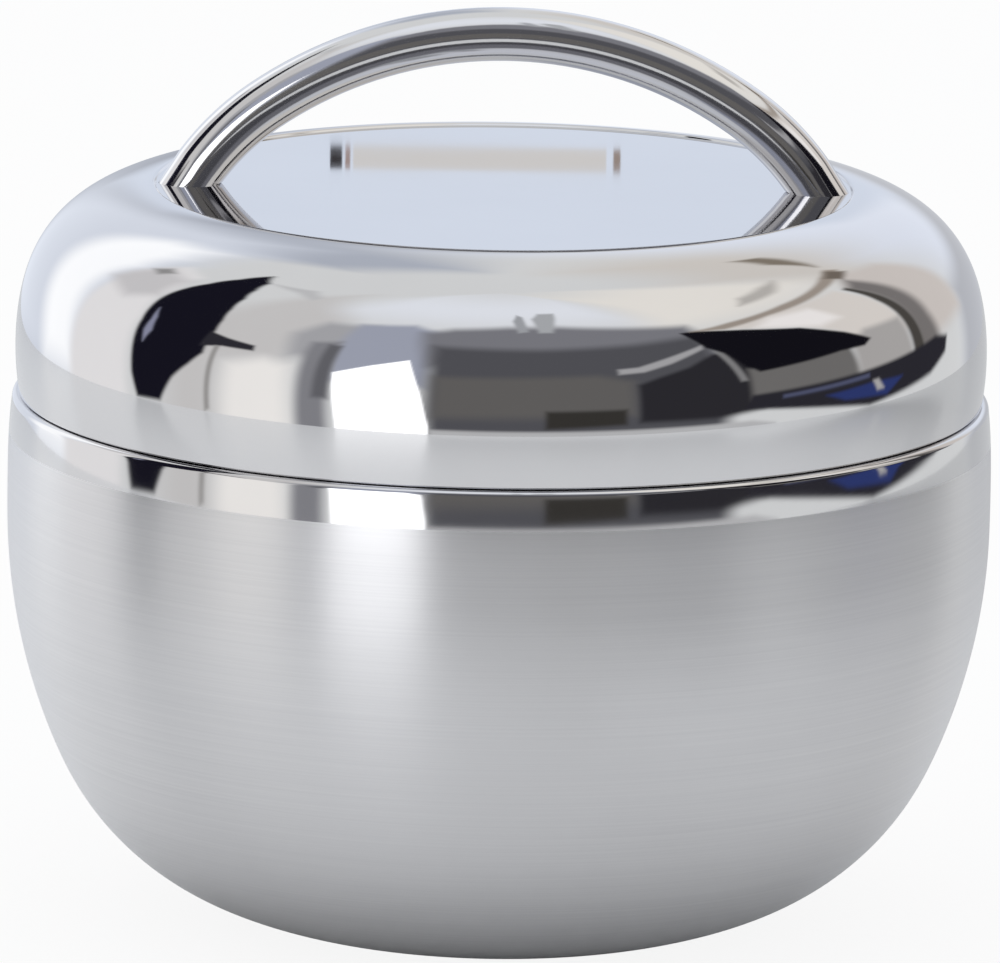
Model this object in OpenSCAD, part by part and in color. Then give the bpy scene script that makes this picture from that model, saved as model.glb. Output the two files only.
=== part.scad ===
// Insulated stainless bowl with a lift-off lid and an arched tube handle.
// The origin is the centre of the base, on the table, and +Z is up.
// Every round wall is a chain of tangent arcs, so that a sheet keeps its thickness round each bend.

/* [Bowl] */
// Outside diameter of the bowl at its straight wall
bowl_d = 220; // [204:1:240]
// Height of the bowl from the table to the top of its rim
bowl_h = 118.5; // [112:0.5:135]
// Radius of the long curve below the straight wall
side_r = 131; // [115:1:145]
// Angle from upright at which the long curve ends
side_turn = 25; // [20:1:30]
// Radius of the tight curve at the bowl's lower corner
knuckle_r = 62; // [52:1:70]
// Angle from upright at which the tight curve ends
knuckle_turn = 67.5; // [62:0.5:70]
// Radius of the flat curve of the underside
under_r = 92; // [84:1:100]
// Angle from upright at which the underside meets the base
under_turn = 80; // [77:1:83]
// Radius of the bend round the edge of the base
base_edge_r = 6; // [3:0.5:8]

/* [Mirror band] */
// Height of the polished band under the rim, rim included
band_h = 7.2; // [6.5:0.1:9]
// Angle by which the band leans in
band_turn = 4; // [2:0.5:6]
// Radius of the bend between the straight wall and the band
band_bend_r = 30; // [20:1:40]
// Outer radius of the shoulder that turns the band in to the rim
rim_r = 1.8; // [1.2:0.1:2.2]

/* [Walls] */
// Thickness of the stainless sheet in every pressed piece
sheet = 0.6; // [0.4:0.1:0.7]
// Thickness of the foam between the bowl's two walls
foam_t = 8; // [6:0.5:11]
// Gap that keeps the foam off the sheet around it
foam_skin_gap = 0.15; // [0.05:0.05:0.2]

/* [Base] */
// Width of the flat ring that the bowl stands on
ring_w = 8; // [6:0.5:14]
// Depth of the stamped recess
recess_h = 1.8; // [1.5:0.1:2.4]
// Radius of the two bends round the recess
recess_bend_r = 1.5; // [1:0.1:2]
// Diameter of the hole through which the foam is poured
fill_hole_d = 10; // [8:0.5:14]
// Diameter of the head of the plug in that hole
plug_head_d = 15; // [14.5:0.5:18]
// Thickness of the plug's head
plug_head_t = 1.2; // [0.8:0.1:1.4]
// Length of the plug's stem above the sheet
plug_stem_l = 3.5; // [2:0.5:5]
// Radial slack of the plug's stem in its hole
plug_slack = 0.05; // [0.03:0.01:0.1]

/* [Mouth] */
// Radius of the bend between the liner's wall and its flange
mouth_bend_r = 2; // [1.2:0.1:2.4]
// Width of the flat that the shell gives to the rim
rim_lip_w = 2; // [1.5:0.1:2.3]

/* [Lid] */
// How far the lid's side stays inside the bowl's wall
lid_setback = 1.5; // [1:0.1:2.5]
// Gap between the lid's edge and the rim that it rests on
seat_gap = 0.3; // [0.2:0.05:0.5]
// Radius of the long curve of the lid's side
lid_side_r = 66; // [55:1:75]
// Angle by which the side turns in under its widest place
lid_tuck_turn = 7.8; // [6:0.2:9]
// Angle from upright at which the side meets the shoulder
lid_side_turn = 13.5; // [10:0.5:16]
// Radius of the lid's shoulder
lid_shoulder_r = 27; // [22:0.5:31]
// Angle from upright at which the shoulder meets the crown
lid_shoulder_turn = 68; // [64:1:72]
// Radius of the crown between the shoulder and the dish
crown_r = 41.9; // [37:0.1:47]
// Angle from upright at which the crown meets the dish
lid_crown_turn = 85; // [82:0.5:87]
// Outer radius of the bend at the lid's lower edge
lid_edge_bend_r = 1.5; // [1.2:0.1:2]
// Width of the flat that the lid turns in to rest on the rim
lid_seat_w = 3.2; // [2.6:0.1:4]
// Inner radius of the bend at the edge of the dish
dish_bend_in_r = 0.25; // [0.25:0.05:0.6]
// Radius of the bend at the foot of the dish's wall
dish_root_r = 0.3; // [0.2:0.05:0.6]
// Angle from level of the dish's short wall
dish_wall_turn = 50; // [40:1:75]
// Length of the straight part of the dish's wall
dish_wall_l = 0.25; // [0.1:0.05:0.6]

/* [Lid pan] */
// Gap between the lid's plug wall and the liner
plug_gap = 1.9; // [1.6:0.1:2.4]
// Depth of the pan below the lid's edge
pan_depth = 14; // [12.5:0.5:18]
// Radius of the bend round the pan's floor
pan_corner_r = 5; // [3:0.5:6]
// Angle at which the pan's domed floor meets that bend
pan_dome_turn = 3.5; // [2.5:0.5:5]
// Radius of the bend between the plug wall and the pan's flange
pan_bend_r = 1.5; // [1:0.1:1.8]
// Width by which the pan's flange laps on the lid's seat
pan_lap_w = 2.3; // [1.5:0.1:2.5]

/* [Gasket] */
// Height of the silicone ring on the plug wall
gasket_h = 6; // [5:0.5:6.5]
// Thickness of the ring's band
gasket_band_t = 0.8; // [0.6:0.1:1]
// Distance from the pan's upper bend down to the ring
gasket_drop = 1; // [0.6:0.1:1.4]
// Clearance between the ring's lips and the liner
gasket_clear = 0.3; // [0.2:0.05:0.5]
// Height of each of the ring's two lips
gasket_lip_h = 1.2; // [0.8:0.1:1.4]

/* [Handle] */
// Outside diameter of the handle's tube
tube_d = 12; // [10:0.5:13]
// Wall of the handle's tube
tube_wall = 1; // [0.8:0.1:1.4]
// Rise of the tube's middle line above the dish
handle_rise = 34.7; // [31:0.5:38]
// Radius of the tube's middle line near each foot
leg_r = 59.5; // [54:0.5:64]
// Angle either side of the top at which the leg's curve starts
top_turn = 35; // [30:1:38]
// Room between the foot's outer end and the dish's wall
foot_room = 0.15; // [0.1:0.05:1]
// Height of the threaded insert in each foot
insert_h = 7; // [6:0.5:8.5]
// Slack of the insert in the bore of the tube
insert_slack = 0.05; // [0.02:0.01:0.1]

/* [Handle fasteners] */
// Thread diameter of the handle's screws
screw_d = 4; // [3:0.5:4]
// Length of each screw under its head
screw_l = 8.5; // [7.5:0.5:9]
// Diameter of the screw's head
screw_head_d = 7.6; // [6.8:0.1:8]
// Height of the screw's head
screw_head_h = 2.8; // [2:0.1:3]
// Width across the flats of the socket in the head
screw_socket_w = 2.5; // [2:0.1:3]
// Radial clearance of the screw in the sheet, the plate and the washer
screw_clear = 0.2; // [0.1:0.05:0.3]
// Outside diameter of the washer
washer_d = 9; // [8.5:0.5:10]
// Thickness of the washer
washer_t = 1; // [0.6:0.1:1.4]
// Length of the backing plate, along the handle
plate_l = 15; // [13:0.5:15]
// Width of the backing plate
plate_w = 26; // [18:1:32]
// Thickness of the backing plate
plate_t = 1.5; // [1:0.1:2]
// Radius of the plate's corners
plate_corner_r = 3; // [2:0.5:4]

/* [Hidden] */
// Largest distance between a drawn arc and the true one
curve_sag = 0.02;
// Length by which a cut runs past what it cuts
overrun = 1;
// Length of the sleeve over the joint between two bends of the handle
bend_joint_l = 1;
// Half the foot's length over the tube's diameter, for a leg that lands at a slope
foot_half_share = 0.6;
// How far the screw stands inboard of the foot's middle, over the tube's diameter
screw_inboard_share = 0.12;
// Socket depth over the height of the screw's head
socket_depth_share = 0.6;
// Radius of the rounded top of the screw's head, over the head's height
head_round_share = 0.45;
$fn = 96;

// Angles of the outward side of a wall that faces straight up or straight down
faces_up = 90;
faces_down = -90;

// Unit vectors square to the wall and along it, where a is the angle of the wall's outward side
function out_dir(a) = [cos(a), sin(a)];
function along(a) = [-sin(a), cos(a)];
// Number of chords on an arc, from the sag that they may have
function chords(r, turn) =
    turn == 0 ? 0 : max(2, ceil(abs(turn) / (2 * acos(1 - curve_sag / abs(r)))));
// Points along tangent bends, moved in by off. A bend is [radius, angle it ends at, straight run after it].
// A bend with a negative radius curls the other way.
function bends_from(p, a, bends, off, i = 0) =
    i == len(bends) ? [] :
    let (r = bends[i][0], to = bends[i][1], run = bends[i][2])
    let (c = p - r * out_dir(a), k = chords(r, to - a))
    let (e = c + r * out_dir(to) + run * along(to))
    concat([for (s = [1:1:k]) c + (r - off) * out_dir(a + (to - a) * s / k)],
        run > 0 ? [e - off * out_dir(to)] : [],
        bends_from(e, to, bends, off, i + 1));
// The whole line, with an end that lies within a curve's sag of the axis put on the axis
function wall_line(p, a, bends, off) =
    [for (q = concat([p - off * out_dir(a)], bends_from(p, a, bends, off)))
        [abs(q[0]) < curve_sag ? 0 : q[0], q[1]]];
function reversed(list) = [for (i = [len(list) - 1:-1:0]) list[i]];

// Bowl shell: the curves lead in from the bowl's width to the base, whose size follows from them
bowl_r = bowl_d / 2;
knuckle_end_r = bowl_r - side_r + (side_r - knuckle_r) * cos(side_turn) + knuckle_r * cos(knuckle_turn);
under_end_r = knuckle_end_r - under_r * (cos(knuckle_turn) - cos(under_turn));
base_r = under_end_r - base_edge_r * cos(under_turn);
curve_h = side_r * sin(side_turn) + knuckle_r * (sin(knuckle_turn) - sin(side_turn))
    + under_r * (sin(under_turn) - sin(knuckle_turn)) + base_edge_r * (1 - sin(under_turn));
wall_h = bowl_h - band_h - curve_h;
band_run = (band_h - band_bend_r * sin(band_turn) - rim_r * (1 - sin(band_turn))) / cos(band_turn);
rim_mid_r = bowl_r - band_bend_r * (1 - cos(band_turn)) - band_run * sin(band_turn) - rim_r * cos(band_turn);
weld_r = rim_mid_r - rim_lip_w;
recess_turn = acos(1 - recess_h / (2 * recess_bend_r));
recess_r = base_r - ring_w;
recess_run = recess_r - recess_bend_r * sin(recess_turn);
recess_flat_r = recess_r + recess_bend_r * sin(recess_turn);
shell_start = [0, recess_h];
shell_bends = [
    [0, faces_down, recess_run],
    [-recess_bend_r, faces_down - recess_turn, 0],
    [recess_bend_r, faces_down, base_r - recess_flat_r],
    [base_edge_r, -under_turn, 0],
    [under_r, -knuckle_turn, 0],
    [knuckle_r, -side_turn, 0],
    [side_r, 0, wall_h],
    [band_bend_r, band_turn, band_run],
    [rim_r, faces_up, rim_lip_w]];

// Bowl liner: the same curves, moved in by the sheet and the foam
liner_off = sheet + foam_t;
liner_floor = [0, liner_off * sin(under_turn)];
liner_run = base_r - liner_off * cos(under_turn);
liner_wall_h = wall_h + band_h - sheet - mouth_bend_r;
liner_out_r = bowl_r - liner_off;
liner_in_r = liner_out_r - sheet;
liner_flange_w = weld_r - liner_out_r - mouth_bend_r;
liner_bends = [
    [0, faces_down, liner_run],
    [base_edge_r, -under_turn, 0],
    [under_r - liner_off, -knuckle_turn, 0],
    [knuckle_r - liner_off, -side_turn, 0],
    [side_r - liner_off, 0, liner_wall_h],
    [-mouth_bend_r, faces_down, liner_flange_w]];

// Lid shell: the curves lead in from the bowl's width to the dish, whose size follows from them
lid_r = bowl_r - lid_setback;
lid_z = bowl_h + seat_gap;
dish_bend_r = dish_bend_in_r + sheet;
shoulder_end_r = lid_r - lid_side_r + (lid_side_r - lid_shoulder_r) * cos(lid_side_turn)
    + lid_shoulder_r * cos(lid_shoulder_turn);
dish_edge_r = shoulder_end_r - crown_r * (cos(lid_shoulder_turn) - cos(lid_crown_turn));
edge_bend_x = lid_r - lid_side_r + (lid_side_r - lid_edge_bend_r) * cos(lid_tuck_turn);
lid_seat_in_r = edge_bend_x - lid_seat_w;
lid_start = [lid_seat_in_r, lid_z];
dish_run_r = dish_edge_r - dish_bend_r * (cos(lid_crown_turn) + sin(dish_wall_turn))
    - dish_wall_l * cos(dish_wall_turn) - dish_root_r * sin(dish_wall_turn);
lid_bends = [
    [0, faces_down, lid_seat_w],
    [lid_edge_bend_r, -lid_tuck_turn, 0],
    [lid_side_r, lid_side_turn, 0],
    [lid_shoulder_r, lid_shoulder_turn, 0],
    [crown_r, lid_crown_turn, 0],
    [dish_bend_r, faces_up + dish_wall_turn, dish_wall_l],
    [-dish_root_r, faces_up, dish_run_r]];
lid_line = wall_line(lid_start, faces_down, lid_bends, 0);
dish_z = lid_line[len(lid_line) - 1][1];

// Lid pan: it hangs from a flange that laps on the lid's seat
pan_r = liner_in_r - plug_gap;
pan_dome_r = (pan_r - pan_corner_r) / sin(pan_dome_turn) - pan_corner_r;
pan_floor_z = lid_z - pan_depth + pan_corner_r * (1 - cos(pan_dome_turn))
    + pan_dome_r * (1 - cos(pan_dome_turn));
pan_wall_h = pan_depth + sheet - pan_bend_r - pan_corner_r;
pan_flange_r = lid_seat_in_r + pan_lap_w;
pan_bends = [
    [-pan_dome_r, faces_down - pan_dome_turn, 0],
    [pan_corner_r, 0, pan_wall_h],
    [-pan_bend_r, faces_down, pan_flange_r - pan_r - pan_bend_r]];

// Handle: its top curve's radius follows from the foot's place, so that the foot lands on the dish
foot_x = dish_run_r - foot_room - tube_d * foot_half_share;
arch_a = 2 * (1 - cos(top_turn));
arch_b = 2 * ((leg_r - handle_rise) * (1 - cos(top_turn)) - foot_x * sin(top_turn));
arch_c = pow(foot_x, 2) + pow(leg_r - handle_rise, 2) - pow(leg_r, 2);
arch_d = (-arch_b - sqrt(pow(arch_b, 2) - 4 * arch_a * arch_c)) / (2 * arch_a);
top_r = leg_r + arch_d;
top_mid_z = dish_z + handle_rise - top_r;
leg_mid = [arch_d * sin(top_turn), top_mid_z + arch_d * cos(top_turn)];
tube_bore_r = tube_d / 2 - tube_wall;
screw_x = foot_x - tube_d * screw_inboard_share;
thread_hole_r = screw_d / 2;
screw_hole_r = screw_d / 2 + screw_clear;
plate_top_z = dish_z - sheet;
washer_top_z = plate_top_z - plate_t;
head_top_z = washer_top_z - washer_t;

// A sheet of the named thickness along a line of bends, turned round the axis
module pressed(p, a, bends) {
    rotate_extrude()
        polygon(concat(wall_line(p, a, bends, 0), reversed(wall_line(p, a, bends, sheet))));
}

// Copies a child to both feet of the handle
module at_feet() {
    for (side = [-1, 1])
        translate([side * screw_x, 0, 0])
            children();
}

// A disc that hangs down from the height z
module hanging_disc(r, h, z) {
    translate([0, 0, z - h])
        cylinder(r = r, h = h);
}

module bowl_shell() {
    color("#c9cbcd")
        difference() {
            pressed(shell_start, faces_down, shell_bends);
            translate([0, 0, recess_h - overrun])
                cylinder(d = fill_hole_d, h = sheet + 2 * overrun);
        }
}

module bowl_liner() {
    color("#d4d6d8")
        pressed(liner_floor, faces_down, liner_bends);
}

// Rigid foam that fills the space between the shell and the liner
module bowl_foam() {
    outer = wall_line(shell_start, faces_down, shell_bends, sheet + foam_skin_gap);
    inner = wall_line(liner_floor, faces_down, liner_bends, -foam_skin_gap);
    color("#e8dcae")
        difference() {
            rotate_extrude()
                polygon(concat([for (i = [0:len(outer) - 2]) outer[i]], reversed(inner)));
            translate([0, 0, recess_h])
                cylinder(d = fill_hole_d + 2 * foam_skin_gap, h = sheet + plug_stem_l + foam_skin_gap);
        }
}

// Push-in plug that closes the foam hole, with its head inside the recess
module fill_plug() {
    stem_r = fill_hole_d / 2 - plug_slack;
    stem_top = recess_h + sheet + plug_stem_l;
    color("#3b3c3e")
        rotate_extrude()
            polygon([
                [0, recess_h - plug_head_t],
                [plug_head_d / 2 - plug_head_t / 2, recess_h - plug_head_t],
                [plug_head_d / 2, recess_h - plug_head_t / 2],
                [plug_head_d / 2, recess_h],
                [stem_r, recess_h],
                [stem_r, stem_top - plug_head_t],
                [stem_r - plug_head_t / 2, stem_top],
                [0, stem_top]]);
}

module lid_shell() {
    color("#d8dadc")
        difference() {
            pressed(lid_start, faces_down, lid_bends);
            at_feet()
                hanging_disc(screw_hole_r, sheet + 2 * overrun, dish_z + overrun);
        }
}

module lid_pan() {
    color("#d0d2d4")
        pressed([0, pan_floor_z], faces_down, pan_bends);
}

// Foam between the lid's shell and its pan, with pockets round the handle's fasteners
module lid_foam() {
    floor_line = wall_line([0, pan_floor_z], faces_down, pan_bends, sheet + foam_skin_gap);
    flange_top_z = lid_z + 2 * sheet + foam_skin_gap;
    shell_line = [for (p = wall_line(lid_start, faces_down, lid_bends, sheet + foam_skin_gap))
        if (p[1] > flange_top_z) p];
    pocket_h = plate_t + washer_t + screw_head_h + foam_skin_gap;
    color("#e8dcae")
        difference() {
            rotate_extrude()
                polygon(concat(floor_line, shell_line));
            at_feet()
                plate_outline(foam_skin_gap, pocket_h + overrun, plate_top_z + overrun);
        }
}

// Silicone ring with two lips, stretched over the plug wall
module lid_gasket() {
    mid_z = lid_z + sheet - pan_bend_r - gasket_drop - gasket_h / 2;
    band_r = pan_r + gasket_band_t;
    lip_r = liner_in_r - gasket_clear;
    lip_z = gasket_h / 2 - gasket_lip_h;
    color("#d9d9d4")
        rotate_extrude()
            translate([0, mid_z])
                polygon([
                    [pan_r, -gasket_h / 2],
                    [band_r, -gasket_h / 2],
                    [lip_r, -lip_z - gasket_lip_h / 2],
                    [lip_r, -lip_z],
                    [band_r, -lip_z + gasket_lip_h / 2],
                    [band_r, lip_z - gasket_lip_h / 2],
                    [lip_r, lip_z],
                    [lip_r, lip_z + gasket_lip_h / 2],
                    [band_r, gasket_h / 2],
                    [pan_r, gasket_h / 2]]);
}

// A rod of radius r bent to the radius bend_r, standing in the plane of the handle
module bent_rod(r, bend_r, first, turn) {
    rotate([90, 0, 0])
        rotate_extrude(start = first, angle = turn)
            translate([bend_r, 0])
                circle(r = r);
}

// The solid rod of radius r that lies along the handle's middle line, down to the dish.
// A sleeve as thick as a curve's sag closes the joint where two bends meet.
module arch_rod(r) {
    difference() {
        union() {
            translate([0, 0, top_mid_z])
                bent_rod(r, top_r, 90 - top_turn, 2 * top_turn);
            for (side = [0, 1])
                mirror([side, 0, 0]) {
                    translate([leg_mid[0], 0, leg_mid[1]])
                        bent_rod(r, leg_r, 0, 90 - top_turn);
                    translate([top_r * sin(top_turn), 0, top_mid_z + top_r * cos(top_turn)])
                        rotate([0, 90 + top_turn, 0])
                            cylinder(r = r + curve_sag, h = bend_joint_l, center = true);
                }
        }
        translate([-bowl_d, -tube_d, -bowl_d + dish_z])
            cube([2 * bowl_d, 2 * tube_d, bowl_d]);
    }
}

module handle_tube() {
    color("#dfe1e3")
        difference() {
            arch_rod(tube_d / 2);
            arch_rod(tube_bore_r);
        }
}

// Threaded plug that fills the bore above one foot, side is 1 on the right and -1 on the left
module tube_insert(side) {
    color("#9a9c9e")
        difference() {
            intersection() {
                arch_rod(tube_bore_r - insert_slack);
                translate([side > 0 ? 0 : -bowl_d, -tube_d, dish_z])
                    cube([bowl_d, 2 * tube_d, insert_h]);
            }
            translate([side * screw_x, 0, dish_z - overrun])
                cylinder(r = thread_hole_r, h = insert_h + 2 * overrun);
        }
}

module tube_insert_left() {
    tube_insert(-1);
}

module tube_insert_right() {
    tube_insert(1);
}

// A plate with round corners that hangs down from the height z, grown by grow all round
module plate_outline(grow, h, z) {
    l = plate_l / 2 - plate_corner_r;
    w = plate_w / 2 - plate_corner_r;
    r = plate_corner_r + grow;
    union() {
        for (x = [-l, l])
            for (y = [-w, w])
                translate([x, y, 0])
                    hanging_disc(r, h, z);
        translate([-l - r, -w, z - h])
            cube([2 * (l + r), 2 * w, h]);
        translate([-l, -w - r, z - h])
            cube([2 * l, 2 * (w + r), h]);
    }
}

// Plates under the dish that spread the pull of the handle
module backing_plates() {
    color("#b4b6b8")
        at_feet()
            difference() {
                plate_outline(0, plate_t, plate_top_z);
                hanging_disc(screw_hole_r, plate_t + 2 * overrun, plate_top_z + overrun);
            }
}

module handle_washers() {
    color("#a8aaac")
        at_feet()
            difference() {
                hanging_disc(washer_d / 2, washer_t, washer_top_z);
                hanging_disc(screw_hole_r, washer_t + 2 * overrun, washer_top_z + overrun);
            }
}

// Screws that come up from below, through washer, plate and dish, into the tube's inserts
module handle_screws() {
    round_r = screw_head_h * head_round_share;
    socket_h = screw_head_h * socket_depth_share;
    head_low_z = head_top_z - screw_head_h;
    shank_r = screw_d / 2 - plug_slack;
    color("#8f9193")
        at_feet()
            difference() {
                union() {
                    translate([0, 0, head_low_z])
                        rotate_extrude()
                            polygon(concat([[0, 0]],
                                [for (a = [-90:15:0])
                                    [screw_head_d / 2 - round_r, round_r] + round_r * out_dir(a)],
                                [[screw_head_d / 2, screw_head_h], [0, screw_head_h]]));
                    translate([0, 0, head_top_z])
                        cylinder(r = shank_r, h = screw_l);
                }
                translate([0, 0, head_low_z - overrun])
                    cylinder(d = screw_socket_w / cos(30), h = socket_h + overrun, $fn = 6);
            }
}

bowl_shell();
bowl_liner();
bowl_foam();
fill_plug();
lid_shell();
lid_pan();
lid_foam();
lid_gasket();
handle_tube();
tube_insert_left();
tube_insert_right();
backing_plates();
handle_washers();
handle_screws();
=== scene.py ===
"""Looks of the insulated stainless bowl and its lid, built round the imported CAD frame."""

import math

import bmesh
import bpy
import numpy as np
from mathutils import Matrix, Vector


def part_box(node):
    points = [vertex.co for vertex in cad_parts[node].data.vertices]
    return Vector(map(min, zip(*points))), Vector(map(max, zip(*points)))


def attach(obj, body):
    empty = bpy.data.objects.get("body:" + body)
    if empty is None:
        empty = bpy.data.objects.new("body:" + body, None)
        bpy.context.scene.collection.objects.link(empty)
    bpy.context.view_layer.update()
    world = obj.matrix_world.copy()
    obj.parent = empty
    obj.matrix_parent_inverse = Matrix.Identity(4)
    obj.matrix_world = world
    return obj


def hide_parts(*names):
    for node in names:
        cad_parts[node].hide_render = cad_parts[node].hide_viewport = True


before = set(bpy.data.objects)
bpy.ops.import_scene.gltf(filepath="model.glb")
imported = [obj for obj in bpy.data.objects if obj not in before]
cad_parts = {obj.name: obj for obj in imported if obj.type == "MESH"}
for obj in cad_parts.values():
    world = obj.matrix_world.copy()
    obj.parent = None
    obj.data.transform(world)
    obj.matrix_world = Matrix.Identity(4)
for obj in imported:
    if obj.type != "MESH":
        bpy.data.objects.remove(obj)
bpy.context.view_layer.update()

# ---------------------------------------------------------------------------
# Camera and room
# A long lens looks down at the bowl by some 11.6 degrees. The table and the
# backdrop are white, and soft white light comes from above and from the left.
# ---------------------------------------------------------------------------
MM = 0.001


def linear(code):
    """A colour written as an sRGB hex code, as linear red, green, blue and alpha."""
    shares = [int(code[i:i + 2], 16) / 255 for i in (1, 3, 5)]
    return [c / 12.92 if c <= 0.04045 else ((c + 0.055) / 1.055) ** 2.4 for c in shares] + [1.0]


def add(tree, kind, links=(), **settings):
    """Adds a node. Settings name its properties, links give sockets their value or another node's output."""
    node = tree.nodes.new(kind)
    for name, value in settings.items():
        setattr(node, name, value)
    for socket, source in dict(links).items():
        if isinstance(source, bpy.types.NodeSocket):
            tree.links.new(source, node.inputs[socket])
        else:
            node.inputs[socket].default_value = source
    return node


def new_material(name):
    material = bpy.data.materials.new(name)
    material.use_nodes = True
    material.node_tree.nodes.clear()
    return material, material.node_tree


def link_object(name, data):
    made = bpy.data.objects.new(name, data)
    bpy.context.scene.collection.objects.link(made)
    return made


camera_data = bpy.data.cameras.new("long_lens")
camera_data.sensor_width = 36.0
camera_data.lens = 541.0
camera_data.clip_end = 100.0
camera = link_object("long_lens", camera_data)
camera_tilt = math.radians(11.553)
camera_roll = math.radians(0.8765)
camera_distance = 3.3656
camera_aim = Vector((0.0002, 0, 0.0985))
camera.matrix_world = (
    Matrix.Translation(camera_aim + camera_distance * Vector((0, -math.cos(camera_tilt), math.sin(camera_tilt))))
    @ Matrix.Rotation(math.radians(90) - camera_tilt, 4, "X")
    @ Matrix.Rotation(camera_roll, 4, "Z"))
bpy.context.scene.camera = camera
bpy.context.scene.view_settings.view_transform = "Standard"

# The table top is white to the camera. The steel mirrors it a little greyer towards the back and the right: painted
# shade for the table falling into shade there.
TABLE_HALF = 30.0
TABLE_GLOW = 0.9
SLANT, SHADE_FADE_LENGTH = 0.6, 0.6
floor_mesh = bpy.data.meshes.new("table_top")
floor_mesh.from_pydata([(-TABLE_HALF, -TABLE_HALF, 0), (TABLE_HALF, -TABLE_HALF, 0),
                        (TABLE_HALF, TABLE_HALF, 0), (-TABLE_HALF, TABLE_HALF, 0)], [], [(0, 1, 2, 3)])
floor = link_object("table_top", floor_mesh)
floor_paint, tree = new_material("white_table_top")
path = add(tree, "ShaderNodeLightPath")
paint = add(tree, "ShaderNodeBsdfDiffuse", {"Color": linear("#e6e6e6")})
glow = add(tree, "ShaderNodeEmission", {"Color": linear("#ffffff"), "Strength": 1.0})
share = add(tree, "ShaderNodeMath", {0: path.outputs["Is Camera Ray"], 1: TABLE_GLOW}, operation="MULTIPLY")
seen = add(tree, "ShaderNodeMixShader", {0: share.outputs[0], 1: paint.outputs[0], 2: glow.outputs[0]})
floor_place = add(tree, "ShaderNodeTexCoord")
floor_parts = add(tree, "ShaderNodeSeparateXYZ", {0: floor_place.outputs["Object"]})
# Painted shade: the table colour that reflections see darkens from the front to the back, and a little to the right.
slant = add(tree, "ShaderNodeMath", {0: floor_parts.outputs["X"], 1: SLANT, 2: floor_parts.outputs["Y"]},
            operation="MULTIPLY_ADD")
painted_shade_towards_back = add(tree, "ShaderNodeMapRange", {"Value": slant.outputs[0], "From Min": 0.0, "From Max": SHADE_FADE_LENGTH})
tone = add(tree, "ShaderNodeMix", {"Factor": painted_shade_towards_back.outputs[0], 6: linear("#ececea"), 7: linear("#cfcfcd")},
           data_type="RGBA")
lacquer = add(tree, "ShaderNodeBsdfPrincipled",
              {"Base Color": tone.outputs[2], "Roughness": 0.26, "Specular IOR Level": 0.2})
mirrored = add(tree, "ShaderNodeMixShader",
               {0: path.outputs["Is Glossy Ray"], 1: seen.outputs[0], 2: lacquer.outputs[0]})
add(tree, "ShaderNodeOutputMaterial", {"Surface": mirrored.outputs[0]})
floor_mesh.materials.append(floor_paint)

world = bpy.data.worlds.new("white_backdrop")
world.use_nodes = True
bpy.context.scene.world = world
tree = world.node_tree
tree.nodes.clear()
path = add(tree, "ShaderNodeLightPath")
seen = add(tree, "ShaderNodeMath", {0: path.outputs["Is Camera Ray"], 1: path.outputs["Is Glossy Ray"]},
           operation="MAXIMUM")
room = add(tree, "ShaderNodeBackground", {"Color": linear("#f2f4f8"), "Strength": 0.96})
white = add(tree, "ShaderNodeBackground", {"Color": linear("#ffffff"), "Strength": 1.0})
either = add(tree, "ShaderNodeMixShader", {0: seen.outputs[0], 1: room.outputs[0], 2: white.outputs[0]})
add(tree, "ShaderNodeOutputWorld", {"Surface": either.outputs[0]})

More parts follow.
